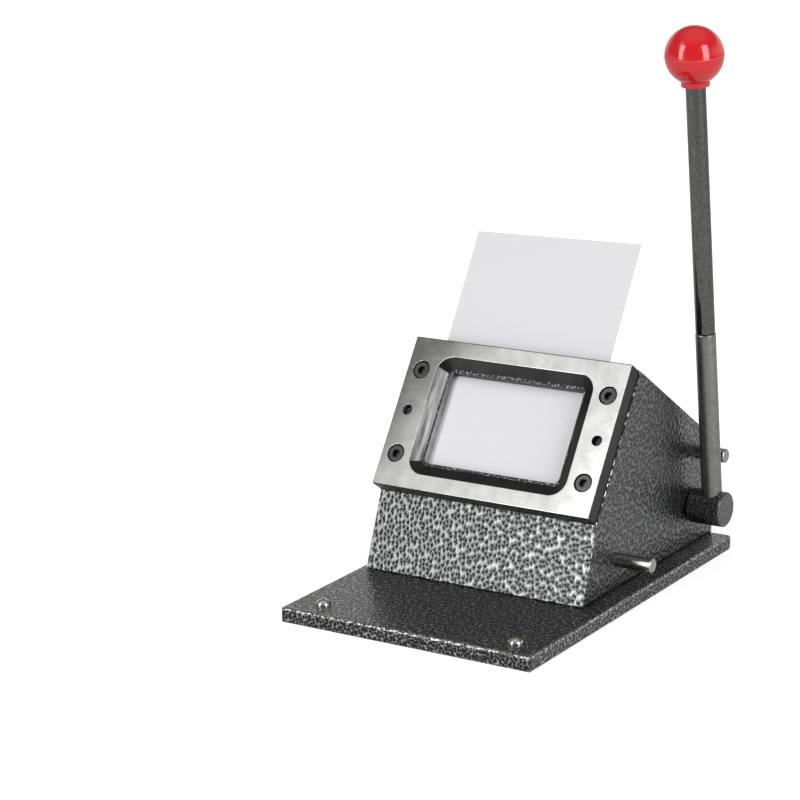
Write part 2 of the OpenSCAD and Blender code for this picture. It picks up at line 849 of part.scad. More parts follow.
module right_bush() {
    bush(1);
}

module thrust_washer() {
    color(bronze) translate([0, shaft_y, shaft_up]) difference() {
        along_x(bush_d + 2 * washer_rim, washer_x, washer_x + washer_t);
        along_x(shaft_d + 2 * run_gap, washer_x - 1, washer_x + washer_t + 1);
    }
}

module retaining_ring() {
    color(black_steel) translate([0, shaft_y, shaft_up]) difference() {
        along_x(shaft_d + 2 * ring_rim, ring_x, ring_x + ring_t);
        along_x(shaft_d - 2 * groove_deep + 2 * press_gap, ring_x - 1, ring_x + ring_t + 1);
        translate([ring_x - 1, -ring_slit / 2, 0]) cube([ring_t + 2, ring_slit, shaft_d]);
    }
}

// Lever

module lever_boss() {
    color(paint) difference() {
        translate([boss_x, shaft_y, shaft_up]) rotate([0, 90, 0])
            bevelled_rod(boss_d, boss_len, 0.6);
        translate([0, shaft_y, shaft_up])
            along_x(shaft_d + 2 * press_gap, boss_x - eps, shaft_right + press_gap);
        lever_frame() {
            translate([0, 0, stub_foot]) cylinder(d = stub_d + 2 * press_gap, h = boss_d);
            cylinder(d = spigot_d + 2 * press_gap, h = boss_d);
        }
    }
}

module lever_stub() {
    bevel = 0.5;
    color(tool_steel) lever_frame() difference() {
        union() {
            translate([0, 0, stub_foot - spigot_len]) cylinder(d = spigot_d, h = spigot_len);
            translate([0, 0, stub_foot]) cylinder(d = stub_d, h = joint_up - stub_foot - bevel);
            translate([0, 0, joint_up - bevel])
                cylinder(d1 = stub_d, d2 = stub_d - 2 * bevel, h = bevel);
        }
        translate([0, 0, joint_up - tenon_len - hole_end])
            cylinder(d = tenon_d + 2 * press_gap, h = tenon_len + 2 * hole_end);
    }
}

module lever_rod() {
    bevel = 0.5;
    color(bright_steel) lever_frame() {
        translate([0, 0, joint_up - tenon_len]) cylinder(d = tenon_d, h = tenon_len + eps);
        translate([0, 0, joint_up]) cylinder(d1 = rod_d - 2 * bevel, d2 = rod_d, h = bevel);
        translate([0, 0, joint_up + bevel]) cylinder(d = rod_d, h = rod_top - joint_up - bevel);
        translate([0, 0, rod_top - eps]) cylinder(d = knob_stud_d, h = knob_stud_len + eps);
    }
}

module ball_knob() {
    seam_out = 0.12;
    seam_w = 0.35;
    neck = collar_drop - 1.5;
    color(plastic_red) lever_frame() difference() {
        union() {
            intersection() {
                translate([0, 0, ball_up]) sphere(d = ball_d, $fn = 96);
                translate([0, 0, ball_up - neck]) cylinder(d = 2 * ball_d, h = 2 * ball_d);
            }
            translate([0, 0, rod_top]) cylinder(d = collar_d, h = collar_h);
            translate([0, 0, ball_up - seam_w / 2])
                cylinder(d = ball_d + 2 * seam_out, h = seam_w);
        }
        translate([0, 0, rod_top - eps])
            cylinder(d = knob_stud_d + 2 * press_gap, h = knob_stud_len + eps + hole_end);
    }
}

// Stop pins

module rear_stop_pin() {
    color(bright_steel) at_rear_stop() stop_pin(rear_stop_out);
}

module front_stop_pin() {
    color(bright_steel) at_front_stop() stop_pin(front_stop_out);
}

base_plate();
front_screws();
left_wall();
right_wall();
front_wall();
roof_plate();
rear_cover();
cover_screws();
base_screws();
die_plate();
die_plate_screws();
dowel_pins();
slot_shim();
pvc_sheet();
card_blank();
guide_plate();
guide_plate_screws();
guide_posts();
return_springs();
punch();
punch_screws();
ram_plate();
ram_fork();
fork_screws();
roller_pin();
cam_roller();
cam();
cam_pin();
main_shaft();
left_bush();
right_bush();
thrust_washer();
retaining_ring();
lever_boss();
lever_stub();
lever_rod();
ball_knob();
rear_stop_pin();
front_stop_pin();
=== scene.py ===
# %% [markdown]
# # A lever cutter for plastic ID cards
# This is a bench press that punches one ID card at a time out of a PVC sheet. The sheet stands in a
# slot behind a leaning steel die plate, and a lever with a red ball drives a punch into the plate's
# window. The press's pieces are already made at their real size, so this lesson sets up a studio and
# dresses them: each piece gets softened edges and the finish of the real surface.
# Everything is in metres. X runs to the right, Y to the back and Z up, and the origin is the middle
# of the base plate's underside.

import json
import math

import bmesh
import bpy
from mathutils import Matrix, Vector


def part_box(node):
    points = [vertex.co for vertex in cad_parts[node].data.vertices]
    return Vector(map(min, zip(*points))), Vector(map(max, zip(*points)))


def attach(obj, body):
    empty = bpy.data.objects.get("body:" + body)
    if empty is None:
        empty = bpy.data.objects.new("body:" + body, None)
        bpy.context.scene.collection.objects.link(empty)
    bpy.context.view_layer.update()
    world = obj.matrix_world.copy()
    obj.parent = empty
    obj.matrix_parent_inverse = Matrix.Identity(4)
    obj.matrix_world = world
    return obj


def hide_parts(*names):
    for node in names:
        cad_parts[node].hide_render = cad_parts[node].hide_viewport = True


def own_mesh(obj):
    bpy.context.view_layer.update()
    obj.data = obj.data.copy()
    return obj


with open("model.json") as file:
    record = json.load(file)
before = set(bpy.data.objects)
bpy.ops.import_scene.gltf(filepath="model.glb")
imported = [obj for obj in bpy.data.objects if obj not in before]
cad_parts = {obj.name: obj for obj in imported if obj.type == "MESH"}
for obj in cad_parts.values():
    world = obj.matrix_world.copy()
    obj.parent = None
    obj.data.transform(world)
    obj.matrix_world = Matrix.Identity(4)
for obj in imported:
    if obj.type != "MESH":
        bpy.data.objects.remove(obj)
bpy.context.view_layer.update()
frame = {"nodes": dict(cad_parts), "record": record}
nodes = frame["nodes"]
bodies = frame["record"]["behaviour"]["bodies"]
body_of_node = {node: body for body, names in bodies.items() for node in names}
slot_of_node = {part["node"]: part["material_slot"] for part in frame["record"]["subparts"]}

# %% [markdown]
# ## Units and colours
# Drawings give this press in millimetres and Blender works in metres, so one value turns the one into
# the other. Colours are read off charts and screens as sRGB codes, while a shader adds up light, which
# is linear. Linear numbers typed by hand are hard to check, so a small function works them out.

# %% Units and colours
MM = 0.001
scene = bpy.context.scene
scene.view_settings.view_transform = "Standard"


def ink(hex_code):
    """A colour written as sRGB hex, turned into the linear numbers that shaders use"""
    channels = [int(hex_code[i : i + 2], 16) / 255 for i in (1, 3, 5)]
    return [c / 12.92 if c <= 0.04045 else ((c + 0.055) / 1.055) ** 2.4 for c in channels] + [1.0]


print("mid grey is", round(ink("#808080")[0], 3), "in linear light")

# %% [markdown]
# ## The camera
# The press was photographed from its right front corner, from a little above, with a long lens. A
# long lens keeps upright edges nearly parallel. Dragging a camera about by eye never quite meets such
# a view, so it is set by its bearing, its height angle and its distance from a point inside the
# press. It is rolled by a degree or so, as a hand-set tripod is.

# %% Camera
AIM = Vector((0, -4, 80)) * MM
BEARING = math.radians(33.46)
HEIGHT_ANGLE = math.radians(15.14)
ROLL = math.radians(-1.4)
DISTANCE = 1453.5 * MM
ASIDE = Vector((-59.2, 26.2)) * MM
LENS = 119.5  # the lens and the film are given to Blender in millimetres
FILM_WIDTH = 36


def place_camera():
    data = bpy.data.cameras.new("camera")
    data.sensor_width = FILM_WIDTH
    data.lens = LENS
    data.clip_end = 100
    camera = bpy.data.objects.new("camera", data)
    scene.collection.objects.link(camera)
    flat = math.cos(HEIGHT_ANGLE)
    back = Vector((math.sin(BEARING) * flat, -math.cos(BEARING) * flat, math.sin(HEIGHT_ANGLE)))
    level = Vector((math.cos(BEARING), math.sin(BEARING), 0))
    upright = back.cross(level)
    right = level * math.cos(ROLL) + upright * math.sin(ROLL)
    up = upright * math.cos(ROLL) - level * math.sin(ROLL)
    turn = Matrix((right, up, back)).transposed().to_4x4()
    spot = AIM + right * ASIDE.x + up * ASIDE.y + back * DISTANCE
    camera.matrix_world = Matrix.Translation(spot) @ turn
    scene.camera = camera
    return camera


camera = place_camera()
print("camera at", [round(c, 3) for c in camera.location])

# %% [markdown]
# ## Studio
# Shiny metal looks like what stands round it, so the studio is made before the finishes. It is a
# product photographer's: a grey room under a pale ceiling, a white wall behind, and white paper on the
# table. Two tall soft boxes give the ball its two bright strips, and the left one also lights the
# front wall and the sheet. A small third box hangs higher up, where the leaning plate mirrors it. A
# ready-made picture of a studio could light the press too, but then no box could be moved on its own.

# %% A helper for shader nodes


def add(tree, kind, links=None, **settings):
    """Adds one shader node. links maps an input's name or number to a value or to a socket"""
    node = tree.nodes.new("ShaderNode" + kind)
    for name, value in settings.items():
        setattr(node, name, value)
    for key, value in (links or {}).items():
        if isinstance(value, bpy.types.NodeSocket):
            tree.links.new(value, node.inputs[key])
        else:
            node.inputs[key].default_value = value
    return node


def new_material(name):
    """A bare material: its node tree and its output node"""
    material = bpy.data.materials.new(name)
    material.use_nodes = True
    material.node_tree.nodes.clear()
    output = add(material.node_tree, "OutputMaterial")
    return material, material.node_tree, output


print("helpers ready")

# %% Room
ROOM_LIGHT = 0.21
CEILING_LIGHT = 0.65
WALL_LIGHT = 1.0
# How far up a ray points, from 0 for level to 1 for straight up: where the ceiling starts and is
# full, and where the white wall ends and is full
CEILING_FADES = (0.7, 0.95)
WALL_TOP = (0.45, 0.30)
# How far back a ray points, on the same scale, where the wall starts and is full
WALL_SIDE = (0.0, 0.35)


def light_room():
    """A grey room under a paler ceiling, with a white wall behind the press"""
    world = bpy.data.worlds.new("studio_room")
    world.use_nodes = True
    tree = world.node_tree
    tree.nodes.clear()
    toward = add(tree, "TexCoord").outputs["Generated"]
    part = add(tree, "SeparateXYZ", {0: toward}).outputs
    low = {"Value": part[2], "From Min": WALL_TOP[0], "From Max": WALL_TOP[1]}
    low = add(tree, "MapRange", low).outputs[0]
    behind = {"Value": part[1], "From Min": WALL_SIDE[0], "From Max": WALL_SIDE[1]}
    behind = add(tree, "MapRange", behind).outputs[0]
    wall = add(tree, "Math", {0: low, 1: behind}, operation="MULTIPLY").outputs[0]
    above = {"Value": part[2], "From Min": CEILING_FADES[0], "From Max": CEILING_FADES[1]}
    above = add(tree, "MapRange", {**above, "To Min": ROOM_LIGHT, "To Max": CEILING_LIGHT}).outputs[0]
    strength = add(tree, "Mix", {0: wall, 2: above, 3: WALL_LIGHT}).outputs[0]
    glow = add(tree, "Background", {"Color": ink("#ffffff"), "Strength": strength})
    output = add(tree, "OutputWorld")
    tree.links.new(glow.outputs[0], output.inputs["Surface"])
    scene.world = world


light_room()
print("room", ROOM_LIGHT, "ceiling", CEILING_LIGHT, "wall", WALL_LIGHT)

# %% White paper
FLOOR_SIZE = 40.0
PAPER_GLOW = (0.68, 0.92)  # near the press and far from it
PAPER_GLOW_REACH = (160 * MM, 600 * MM)
PAPER_GAP = 0.05 * MM  # below the press, because two surfaces in one place render as noise
PAPER_MIRRORED = 0.34
TABLE_EDGE = (900 * MM, 400 * MM)  # in front of the press, where mirrored paper ends and is full


def lay_floor():
    """White paper. Its own glow is seen by the camera and by shiny and clear pieces only, and it
    rises away from the press, where the soft boxes reach less far. What shiny pieces show of it
    ends in front, as at the edge of a table"""
    material, tree, output = new_material("white_paper")
    spot = add(tree, "TexCoord").outputs["Object"]
    away = add(tree, "VectorMath", {0: spot}, operation="LENGTH").outputs["Value"]
    away = {"Value": away, "From Min": PAPER_GLOW_REACH[0], "From Max": PAPER_GLOW_REACH[1]}
    glow = {**away, "To Min": PAPER_GLOW[0], "To Max": PAPER_GLOW[1]}
    glow = add(tree, "MapRange", glow).outputs[0]
    forward = (math.sin(BEARING), -math.cos(BEARING), 0)
    ahead = add(tree, "VectorMath", {0: spot, 1: forward}, operation="DOT_PRODUCT").outputs["Value"]
    table = {"Value": ahead, "From Min": TABLE_EDGE[0], "From Max": TABLE_EDGE[1]}
    table = add(tree, "MapRange", {**table, "To Min": 0.0, "To Max": PAPER_MIRRORED}).outputs[0]
    ray = add(tree, "LightPath").outputs
    in_shine = {0: ray["Is Glossy Ray"], 1: ray["Is Transmission Ray"]}
    in_shine = add(tree, "Math", in_shine, operation="MAXIMUM").outputs[0]
    in_shine = add(tree, "Math", {0: in_shine, 1: table}, operation="MULTIPLY").outputs[0]
    seen = add(tree, "Math", {0: ray["Is Camera Ray"], 1: glow}, operation="MULTIPLY").outputs[0]
    glow = add(tree, "Math", {0: seen, 1: in_shine}, operation="MAXIMUM").outputs[0]
    light = add(tree, "Emission", {"Color": ink("#ffffff"), "Strength": glow})
    paper = add(tree, "BsdfDiffuse", {"Color": ink("#cbcbcb")})
    both = add(tree, "AddShader", {0: paper.outputs[0], 1: light.outputs[0]})
    tree.links.new(both.outputs[0], output.inputs["Surface"])
    half = FLOOR_SIZE / 2
    corners = [(-half, -half, 0), (half, -half, 0), (half, half, 0), (-half, half, 0)]
    mesh = bpy.data.meshes.new("floor")
    mesh.from_pydata(corners, [], [(0, 1, 2, 3)])
    floor = bpy.data.objects.new("floor", mesh)
    floor.location.z = -PAPER_GAP
    mesh.materials.append(material)
    scene.collection.objects.link(floor)


lay_floor()
print("paper", FLOOR_SIZE, "m wide")

# %% Soft boxes
BOX_DISTANCE = 1.7
# Name: bearing from the front to the right, height angle, width and height in metres, radiance
SOFT_BOXES = {
    "soft_box_left": (-24.7, 22, (0.475, 1.55), 7.4),
    "soft_box_high": (-39.7, 43, (0.27, 0.85), 1.52),
    "soft_box_right": (76, 21, (0.68, 1.45), 6.2),
}


def soft_box(name, bearing, height_angle, size, radiance):
    """An area lamp that faces the press and isn't seen by the camera itself"""
    data = bpy.data.lights.new(name, "AREA")
    data.shape = "RECTANGLE"
    data.size, data.size_y = size
    data.energy = radiance * math.pi * size[0] * size[1]
    lamp = bpy.data.objects.new(name, data)
    scene.collection.objects.link(lamp)
    a, e = math.radians(bearing), math.radians(height_angle)
    out = Vector((math.sin(a) * math.cos(e), -math.cos(a) * math.cos(e), math.sin(e)))
    lamp.location = AIM + out * BOX_DISTANCE
    lamp.rotation_euler = out.to_track_quat("Z", "Y").to_euler()
    lamp.visible_camera = False
    return lamp


for name, setting in SOFT_BOXES.items():
    print(name, round(soft_box(name, *setting).data.energy, 1), "W")

# %% [markdown]
# ## Softened edges
# No real edge is perfectly sharp: a saw, a file or a coat of paint rounds it, and that thin rounding
# catches the light. A bump in the shader could fake it, but it never shows on the outline. Blender's
# Bevel modifier rounds the mesh itself, on any clean one. The press's pieces come as triangles, so a
# copy of each is first cleaned: doubled points are merged and flat neighbours are dissolved into
# whole faces. Then every corner sharper than a set angle is rounded.

# %% Copies with clean faces
SAME_POINT = 0.002 * MM
FLAT_ANGLE = 1.0  # degrees between two faces that count as one


def take_copy(node):
    piece = bpy.data.objects.new(node + "_shape", nodes[node].data.copy())
    piece.data.materials.clear()
    scene.collection.objects.link(piece)
    return piece


def clean(piece):
    """Merges doubled points and dissolves edges between faces that lie in one plane"""
    bm = bmesh.new()
    bm.from_mesh(piece.data)
    bmesh.ops.remove_doubles(bm, verts=bm.verts, dist=SAME_POINT)
    limit = math.radians(FLAT_ANGLE)
    bmesh.ops.dissolve_limit(bm, angle_limit=limit, verts=bm.verts, edges=bm.edges)
    bmesh.ops.recalc_face_normals(bm, faces=bm.faces)
    bm.to_mesh(piece.data)
    bm.free()


def apply_modifiers(piece):
    bpy.context.view_layer.update()
    seen = piece.evaluated_get(bpy.context.evaluated_depsgraph_get())
    mesh = bpy.data.meshes.new_from_object(seen)
    piece.modifiers.clear()
    piece.data = mesh


print("points closer than", SAME_POINT / MM, "mm count as one")

# %% Rounding and smoothing
SHARP_ANGLE = 28  # degrees: the facets of round holes and pins meet at less
CURVE_ANGLE = 35
LARGE_FACES_LEAD = 90  # of 100


def round_edges(piece, radius, steps=2, angle=SHARP_ANGLE, finish=-1, chosen=None, least=0.0):
    """finish is the number of the rounding's own material, or -1 to take its neighbour's.
    chosen says, from an edge's middle, whether that edge is rounded. Edges shorter than least stay"""
    bevel = piece.modifiers.new("round", "BEVEL")
    bevel.material = finish
    bevel.width = radius
    bevel.segments = steps
    bevel.limit_method = "ANGLE" if chosen is None else "WEIGHT"
    bevel.angle_limit = math.radians(angle)
    bevel.use_clamp_overlap = True
    if chosen is not None:
        bm = bmesh.new()
        bm.from_mesh(piece.data)
        weight = bm.edges.layers.float.get("bevel_weight_edge")
        weight = weight or bm.edges.layers.float.new("bevel_weight_edge")
        for edge in bm.edges:
            middle = (edge.verts[0].co + edge.verts[1].co) / 2
            sharp = edge.calc_face_angle(0) > math.radians(angle) and edge.calc_length() > least
            edge[weight] = 1.0 if sharp and chosen(middle) else 0.0
        bm.to_mesh(piece.data)
        bm.free()
    apply_modifiers(piece)


def smooth(piece, angle=CURVE_ANGLE):
    """Shades a curved side as one curve, and keeps edges sharper than the angle. Each point's
    shading leans towards its larger faces, so that flats stay flat beside a rounding"""
    for polygon in piece.data.polygons:
        polygon.use_smooth = True
    bm = bmesh.new()
    bm.from_mesh(piece.data)
    for edge in bm.edges:
        edge.smooth = edge.calc_face_angle(0) < math.radians(angle)
    bm.to_mesh(piece.data)
    bm.free()
    weigh = piece.modifiers.new("weigh", "WEIGHTED_NORMAL")
    weigh.weight = LARGE_FACES_LEAD
    weigh.keep_sharp = True
    apply_modifiers(piece)


print("edges sharper than", SHARP_ANGLE, "degrees are rounded")

# %% Placing a finished piece


def dress(piece, material):
    piece.data.materials.clear()
    piece.data.materials.append(material)
    return piece


def place(piece, name, cad_nodes):
    """Names a piece, lets it ride on its body, and makes it stand for CAD nodes"""
    piece.name = name
    piece.data.name = name
    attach(piece, body_of_node[cad_nodes[0]])
    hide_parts(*cad_nodes)
    return piece


def softened(node, radius, steps=2, angle=SHARP_ANGLE):
    """A copy of one CAD node with its edges rounded"""
    piece = take_copy(node)
    clean(piece)
    round_edges(piece, radius, steps, angle)
    smooth(piece)
    return place(piece, node + "_finished", [node])


print("a finished piece stands where its CAD node stands")

# %% [markdown]
# ## Hammertone enamel
# The housing and the base are stove-enamelled in hammertone: a paint full of aluminium flakes with a
# little silicone, sprayed thick. As it dries it shrinks into shallow pits with a bright net of flakes
# between them, under a clear skin that is almost level. The net mirrors the soft box, the pits stay
# dark, and the skin gives the sharp reflections on the base plate.
# The pits could be modelled, but at 2 mm apart that is thousands of dimples. A cell pattern does it in
# the shader: its distance from the nearest cell's middle is the paint's height, which also blends from
# a near-black pit colour, a painted shade in the hollows, to the net's colour, and thins the clear skin
# in the pits. It is laid flat on each face, as a solid pattern would be cut across at odd angles and
# lose its round pits.

# %% A flat pattern for every face
SIDE_FACING = 0.7
TOP_FACING = 0.75
# On the side walls the pits lie longer than high: the pattern is stretched in y and squeezed in z
SIDE_CELLS = (0.85, 1.35)


def face_plane(tree):
    """Where a point lies on its face, seen straight on: x and z in front, y and z at a side, x and y
    on top"""
    maker = add(tree, "TexCoord").outputs
    spot = add(tree, "SeparateXYZ", {0: maker["Object"]}).outputs
    facing = add(tree, "SeparateXYZ", {0: maker["Normal"]}).outputs
    slopes = [add(tree, "Math", {0: facing[i]}, operation="ABSOLUTE").outputs[0] for i in (0, 2)]
    side = add(tree, "Math", {0: slopes[0], 1: SIDE_FACING}, operation="GREATER_THAN").outputs[0]
    top = add(tree, "Math", {0: slopes[1], 1: TOP_FACING}, operation="GREATER_THAN").outputs[0]
    deep = add(tree, "Math", {0: spot[1], 1: SIDE_CELLS[0]}, operation="MULTIPLY").outputs[0]
    tall = add(tree, "Math", {0: spot[2], 1: SIDE_CELLS[1]}, operation="MULTIPLY").outputs[0]
    across = add(tree, "Mix", {0: side, 2: spot[0], 3: deep}).outputs[0]
    along = add(tree, "Mix", {0: top, 2: spot[2], 3: spot[1]}).outputs[0]
    along = add(tree, "Mix", {0: side, 2: along, 3: tall}).outputs[0]
    return add(tree, "CombineXYZ", {0: across, 1: along}).outputs[0]


print("a face is a side from", SIDE_FACING, "and a top from", TOP_FACING)

# %% Hammertone's cells
PIT_DEPTH = 0.30 * MM
WANDER = 0.6  # waves in each pit's spacing, which push the cells out of line
DRIFT = 0.5  # how far they push, in spacings
LEANING = -0.3  # radians that the cells lean over
TALL_CELLS = (1.1, 0.85, 1)  # below 1 stretches them upwards
DISORDER = 0.78  # 0 is a square grid of pits and 1 is no order at all
FINE_WAVES = 3  # in each spacing, which roughen the pits' outlines
FINE_SHARE = 0.30


def paint_height(tree, flat, spacing):
    """The paint's height between two levels: low in the middle of a pit and high on the net"""
    wander = {"Vector": flat, "Scale": WANDER / spacing}
    wander = add(tree, "TexNoise", wander, noise_dimensions="2D").outputs["Color"]
    drift = DRIFT * spacing
    moved = {0: wander, 1: (drift, drift, 0), 2: flat}
    moved = add(tree, "VectorMath", moved, operation="MULTIPLY_ADD").outputs[0]
    tall = {"Vector": moved, "Rotation": (0, 0, LEANING), "Scale": TALL_CELLS}
    tall = add(tree, "Mapping", tall).outputs[0]
    cells = {"Vector": tall, "Scale": 1 / spacing, "Randomness": DISORDER}
    cells = add(tree, "TexVoronoi", cells, voronoi_dimensions="2D").outputs["Distance"]
    fine = {"Vector": flat, "Scale": FINE_WAVES / spacing, "Detail": 2.0}
    fine = add(tree, "TexNoise", fine, noise_dimensions="2D").outputs["Fac"]
    uneven = {0: fine, 1: FINE_SHARE, 2: cells}
    return add(tree, "Math", uneven, operation="MULTIPLY_ADD").outputs[0]


print("pits", PIT_DEPTH / MM, "mm deep")

# %% Hammertone itself
SKIN_ROUGHNESS = 0.08


def hammertone(
    name,
    net,
    pit_shade,
    spacing,
    skin_depth,
    gloss,
    roughness,
    mirror=1.0,
    reach=(0.20, 0.92),
    in_pits=0.15,
    waves=None,
):
    """spacing is from pit to pit. reach is the height where the pits end and where the net is full.
    gloss is the clear skin's weight on the net, and in_pits its share in the pits. skin_depth is how
    far the skin follows the pits, or its own waves where their length is given"""
    material, tree, output = new_material(name)
    flat = face_plane(tree)
    height = {"Value": paint_height(tree, flat, spacing), "From Min": reach[0], "From Max": reach[1]}
    height = add(tree, "MapRange", height).outputs["Result"]
    # The near-black pit colour is painted shade in the pits, on top of the shading that the bump gives
    colour = add(tree, "Mix", {0: height, 6: ink(pit_shade), 7: ink(net)}, data_type="RGBA").outputs[2]
    clear = {"Value": height, "To Min": in_pits * gloss, "To Max": gloss}
    clear = add(tree, "MapRange", clear).outputs["Result"]
    pits = add(tree, "Bump", {"Height": height, "Distance": PIT_DEPTH}).outputs[0]
    if waves:
        swell = {"Vector": flat, "Scale": 1 / waves}
        height = add(tree, "TexNoise", swell, noise_dimensions="2D").outputs["Fac"]
    skin = add(tree, "Bump", {"Height": height, "Distance": skin_depth}).outputs[0]
    surface = {
        "Base Color": colour,
        "Metallic": mirror,
        "Roughness": roughness,
        "Coat Weight": clear,
        "Coat Roughness": SKIN_ROUGHNESS,
        "Normal": pits,
        "Coat Normal": skin,
    }
    shader = add(tree, "BsdfPrincipled", surface)
    tree.links.new(shader.outputs[0], output.inputs["Surface"])
    return material


# Hammertone enamel sprayed on upright walls, where the wet paint stays as it lands: large pits and a
# broad net. The eye sees a lively black and white mesh where it mirrors a light, and dark grey
# elsewhere.
enamel = hammertone(
    "hammertone_enamel",
    "#737474",
    "#040404",
    2.7 * MM,
    0.16 * MM,
    gloss=0.5,
    roughness=0.28,
    reach=(0.18, 0.84),
)

# Hammertone enamel on a level plate, where it runs out before it is stoved: finer pits and a thick
# skin with waves of its own. More of it is pit-black than on the walls, a painted shade that darkens
# the plate. The eye sees a dark, wet-looking plate that mirrors the room softly.
base_enamel = hammertone(
    "hammertone_enamel_level",
    "#a8a9a9",
    "#040404",
    1.7 * MM,
    0.34 * MM,
    gloss=1.0,
    roughness=0.38,
    mirror=0.75,
    reach=(0.54, 1.02),
    in_pits=0.35,
    waves=2.4 * MM,
)

# A brighter copy of the hammertone enamel, on the rounding of the base plate's top edges: its lighter
# net and fuller skin are a painted highlight. The eye sees a bright, broken line.
edge_highlight_enamel = hammertone(
    "hammertone_enamel_edge_highlight",
    "#b4b4b4",
    "#0c0c0c",
    2.2 * MM,
    0.14 * MM,
    gloss=1.0,
    roughness=0.30,
    reach=(0.30, 0.80),
    in_pits=0.5,
)

# Hammertone enamel in a thin coat on the small round boss, whose pits are close together. The eye
# sees a finer grain than on the walls.
boss_enamel = hammertone(
    "hammertone_enamel_fine", "#787979", "#030303", 1.5 * MM, 0.08 * MM, gloss=0.5, roughness=0.28
)
print("four coats of hammertone")

# %% [markdown]
# ## Chips and nicks, which also paint glints
# Enamel is brittle. On the sloping corner beside the die plate, sheets and hands have knocked it off
# in specks, and bright steel shows between them. The specks are drawn near white, so they also paint
# the corner's broken highlight. The window's cutting edge is bare steel with small nicks, whose pale
# specks also paint the glints along its rim. A painted picture could show either, but one noise
# pattern, cut hard at a level, gives specks of a known size on any edge, and the same noise drives the
# bump, so the specks lie a little deeper.

# %% Chips and nicks, which also paint glints
SPECKS = (0.54, 0.60)  # the noise's level where the bare metal starts and is full


def chipped_with_glints(name, paint, metal, spacing, depth, roughness):
    """A dark skin worn off in specks, spacing apart, down to the bare metal. Where the metal is drawn
    pale, the specks also paint glints and highlights
    """
    material, tree, output = new_material(name)
    spot = add(tree, "TexCoord").outputs["Object"]
    noise = {"Vector": spot, "Scale": 1 / spacing, "Detail": 3.0}
    noise = add(tree, "TexNoise", noise).outputs["Fac"]
    bare = {"Value": noise, "From Min": SPECKS[0], "From Max": SPECKS[1]}
    bare = add(tree, "MapRange", bare).outputs["Result"]
    colour = add(tree, "Mix", {0: bare, 6: ink(paint), 7: ink(metal)}, data_type="RGBA").outputs[2]
    step = add(tree, "Bump", {"Height": noise, "Distance": depth}).outputs[0]
    surface = {"Base Color": colour, "Metallic": 1.0, "Roughness": roughness, "Normal": step}
    shader = add(tree, "BsdfPrincipled", surface)
    tree.links.new(shader.outputs[0], output.inputs["Surface"])
    return material


# Enamel chipped off to the bright steel under it, drawn near white, so the specks are also a painted
# highlight on the corner. The eye sees white specks on black, each about a millimetre long, like a
# dashed line.
chips_and_highlight = chipped_with_glints("chipped_enamel_corner_highlight", "#1c1c1c", "#f2f2f0", 2.2 * MM, 0.1 * MM, 0.35)

# Hardened tool steel at the cutting edge, dark and nicked by use, whose pale nicks also paint the
# glints along the lit rim. The eye sees a thin, uneven pale line. Most real nicks are too fine to show
# here, so these are drawn as coarse as they need to show.
nicks_and_glints = chipped_with_glints("nicked_cutting_edge_glints", "#38383a", "#8c8c8a", 1.3 * MM, 0.08 * MM, 0.55)
print("finishes:", chips_and_highlight.name, "and", nicks_and_glints.name)

# %% [markdown]
# ## Steels
# Machined steels differ little in colour. What tells them apart is the tool's track: how coarse the
# lines are, which way they run and how sharp the reflection is. So one function makes them all, from a
# fine noise stretched along the tool's path and a slow noise that clouds the tone. A photograph of
# metal would carry its own highlights; this takes them from the studio.
# Real tool marks are 0.02 to 0.1 mm apart, which is finer than this picture shows. All the grains
# below are 0.3 to 0.9 mm, as coarse as they need to show.

# %% Machined steel
MARKS = (0.3, 0.7)  # the part of the noise's range that is used
ROUGHER, SMOOTHER = 1.2, 0.8  # times the roughness, at the two ends of that range


def steel(
    name,
    colour,
    dark,
    roughness,
    grain,
    track=(1, 1, 1),
    grain_depth=0.004 * MM,
    cloud=18 * MM,
    metallic=1.0,
    streaked=False,
):
    """grain and cloud are the sizes of the fine lines and of the slow change of tone. track is below
    1 along the tool's path. streaked lets the clouds follow that path too"""
    material, tree, output = new_material(name)
    spot = add(tree, "TexCoord").outputs["Object"]
    along = add(tree, "Mapping", {"Vector": spot, "Scale": track}).outputs[0]
    lines = {"Vector": along, "Scale": 1 / grain, "Detail": 3.0, "Roughness": 0.6}
    lines = add(tree, "TexNoise", lines).outputs["Fac"]
    clouds = {"Scale": 1 / cloud, "Detail": 4.0, "Roughness": 0.6}
    clouds = add(tree, "TexNoise", {"Vector": along if streaked else spot, **clouds}).outputs["Fac"]
    tone = {"Value": clouds, "From Min": MARKS[0], "From Max": MARKS[1]}
    tone = add(tree, "MapRange", tone).outputs["Result"]
    mixed = add(tree, "Mix", {0: tone, 6: ink(dark), 7: ink(colour)}, data_type="RGBA").outputs[2]
    rough = {"Value": lines, "From Min": MARKS[0], "From Max": MARKS[1]}
    rough = {**rough, "To Min": ROUGHER * roughness, "To Max": SMOOTHER * roughness}
    rough = add(tree, "MapRange", rough).outputs["Result"]
    scratches = add(tree, "Bump", {"Height": lines, "Distance": grain_depth}).outputs[0]
    surface = {"Base Color": mixed, "Metallic": metallic, "Roughness": rough, "Normal": scratches}
    shader = add(tree, "BsdfPrincipled", surface)
    tree.links.new(shader.outputs[0], output.inputs["Surface"])
    return material


print("grains are drawn 0.3 to 0.9 mm apart")

# %% Steels of the die plate
# Tool steel, surface-ground from side to side. The eye sees a nearly mirror-smooth skin with faint
# clouds, on which a light lies as one milky patch that fades to grey.
ground = steel(
    "surface_ground_steel",
    "#b4b4b2",
    "#9c9c9a",
    0.10,
    0.5 * MM,
    (0.06, 1, 1),
    0.001 * MM,
    cloud=14 * MM,
)

